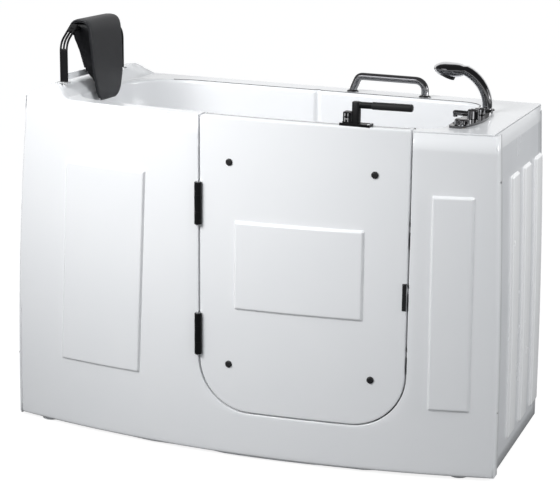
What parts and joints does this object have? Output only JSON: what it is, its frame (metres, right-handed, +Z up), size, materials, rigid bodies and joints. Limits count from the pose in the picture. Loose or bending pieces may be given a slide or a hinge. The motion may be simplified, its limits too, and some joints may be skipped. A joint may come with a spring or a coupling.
{
  "type": "walk-in bathtub",
  "caption": "Walk-in soaking tub with a bowed front, an outward-opening side door with a lever latch, a moulded seat, headrest, grab bar and deck-mounted taps.",
  "frame": {"origin": "centre of the bounding box in plan, at floor level", "axes": "+X runs along the tub from the headrest end to the tap end, +Y points from the bowed front with the door to the back, +Z is up"},
  "size_m": [1.5011, 0.7, 1.219],
  "materials": {
    "moulded_shell": "glossy white moulded acrylic",
    "black_metal": "satin black powder coat",
    "black_plastic": "black moulded plastic",
    "grip_rubber": "black rubber sleeve",
    "seal_rubber": "black sealing rubber",
    "pad_leather": "black soft upholstery with a fine grain",
    "chrome_plate": "polished chrome plate",
    "screw_steel": "plain steel",
    "brushed_plate": "brushed stainless steel",
    "frame_steel": "grey painted tube",
    "plywood": "sealed plywood",
    "pipe_plastic": "pale grey pipe plastic",
    "valve_brass": "plain brass"
  },
  "bodies": {
    "tub": {"tub_shell": "moulded_shell", "front_apron": "moulded_shell", "foot_end_panel": "moulded_shell", "head_end_panel": "moulded_shell", "end_panel_screws": "screw_steel", "base_long_rails": "frame_steel", "base_cross_rails": "frame_steel", "door_sill_rail": "frame_steel", "frame_posts": "frame_steel", "rim_rails": "frame_steel", "floor_board": "plywood", "seat_board": "plywood", "levelling_feet": "black_plastic", "foot_locknuts": "screw_steel", "door_jamb_plate": "brushed_plate", "door_seal": "seal_rubber", "hinge_frame_leaves": "black_metal", "hinge_frame_screws": "screw_steel", "hinge_pins": "screw_steel", "latch_keepers": "black_plastic", "keeper_screws": "screw_steel", "drain_body": "chrome_plate", "waste_trap": "pipe_plastic", "overflow_pipe": "pipe_plastic", "overflow_plate": "chrome_plate", "grab_bar": "chrome_plate", "grab_bar_nuts": "screw_steel", "tap_plate": "chrome_plate", "valve_block": "valve_brass", "spout": "chrome_plate", "shower_cradle": "chrome_plate", "headrest_sockets": "brushed_plate", "headrest_brackets": "black_metal", "headrest_rod": "brushed_plate"},
    "door": {"door_outer_skin": "moulded_shell", "door_inner_skin": "moulded_shell", "door_core_frame": "frame_steel", "hinge_door_leaves": "black_metal", "hinge_door_screws": "screw_steel", "door_bolts": "screw_steel", "door_bolt_caps": "black_plastic", "inner_bolt_caps": "chrome_plate", "latch_plate": "black_metal", "latch_stop_block": "black_metal", "latch_plate_screws": "screw_steel", "lock_bar_guides": "brushed_plate", "stud_slot_cover": "black_plastic"},
    "latch_lever": {"lever_arm": "black_metal", "lever_grip": "grip_rubber", "lever_cam": "brushed_plate"},
    "lock": {"lock_bar": "brushed_plate", "lock_studs": "screw_steel"},
    "flow_control": {"flow_knob": "chrome_plate"},
    "diverter_control": {"diverter_knob": "chrome_plate"},
    "hand_shower": {"handset_body": "chrome_plate", "handset_face": "black_plastic"},
    "headrest": {"headrest_shell": "black_plastic", "headrest_pad": "pad_leather"},
    "plug": {"drain_plug": "chrome_plate"},
    "plug_control": {"overflow_knob": "chrome_plate"}
  },
  "joints": [
    {"name": "door_swing", "type": "hinge", "parent": "tub", "child": "door", "pos_m": [-0.1025, -0.3395, 0.555], "axis": [0, 0, -1], "range_deg": [0, 115]},
    {"name": "lever_turn", "type": "hinge", "parent": "door", "child": "latch_lever", "pos_m": [0.344, -0.29447, 0.98795], "axis": [0, 0, 1], "range_deg": [0, 90]},
    {"name": "lock_bar_drop", "type": "slide", "parent": "door", "child": "lock", "axis": [0, 0, -1], "range_m": [0, 0.03]},
    {"name": "flow_turn", "type": "hinge", "parent": "tub", "child": "flow_control", "pos_m": [0.609, -0.186, 0.98333], "axis": [0.0175, 0, 0.9998], "range_deg": [-90, 90]},
    {"name": "diverter_turn", "type": "hinge", "parent": "tub", "child": "diverter_control", "pos_m": [0.609, 0.018, 0.98333], "axis": [0.0175, 0, 0.9998], "range_deg": [-60, 60]},
    {"name": "hand_shower_lift", "type": "slide", "parent": "tub", "child": "hand_shower", "axis": [0.0175, 0, 0.9998], "range_m": [0, 0.07]},
    {"name": "headrest_tilt", "type": "hinge", "parent": "tub", "child": "headrest", "pos_m": [-0.585, -0.0175, 1.19022], "axis": [0, -1, 0], "range_deg": [0, 20]},
    {"name": "plug_turn", "type": "hinge", "parent": "tub", "child": "plug_control", "pos_m": [0.558, 0.04, 0.8], "axis": [1, 0, 0], "range_deg": [0, 90]},
    {"name": "plug_lift", "type": "slide", "parent": "tub", "child": "plug", "axis": [0, 0, 1], "range_m": [0, 0.012]}
  ],
  "couplings": [
    {"joint": "lock_bar_drop", "follows": "lever_turn", "m_per_rad": 0.019099},
    {"joint": "plug_lift", "follows": "plug_turn", "m_per_rad": 0.0076394}
  ]
}
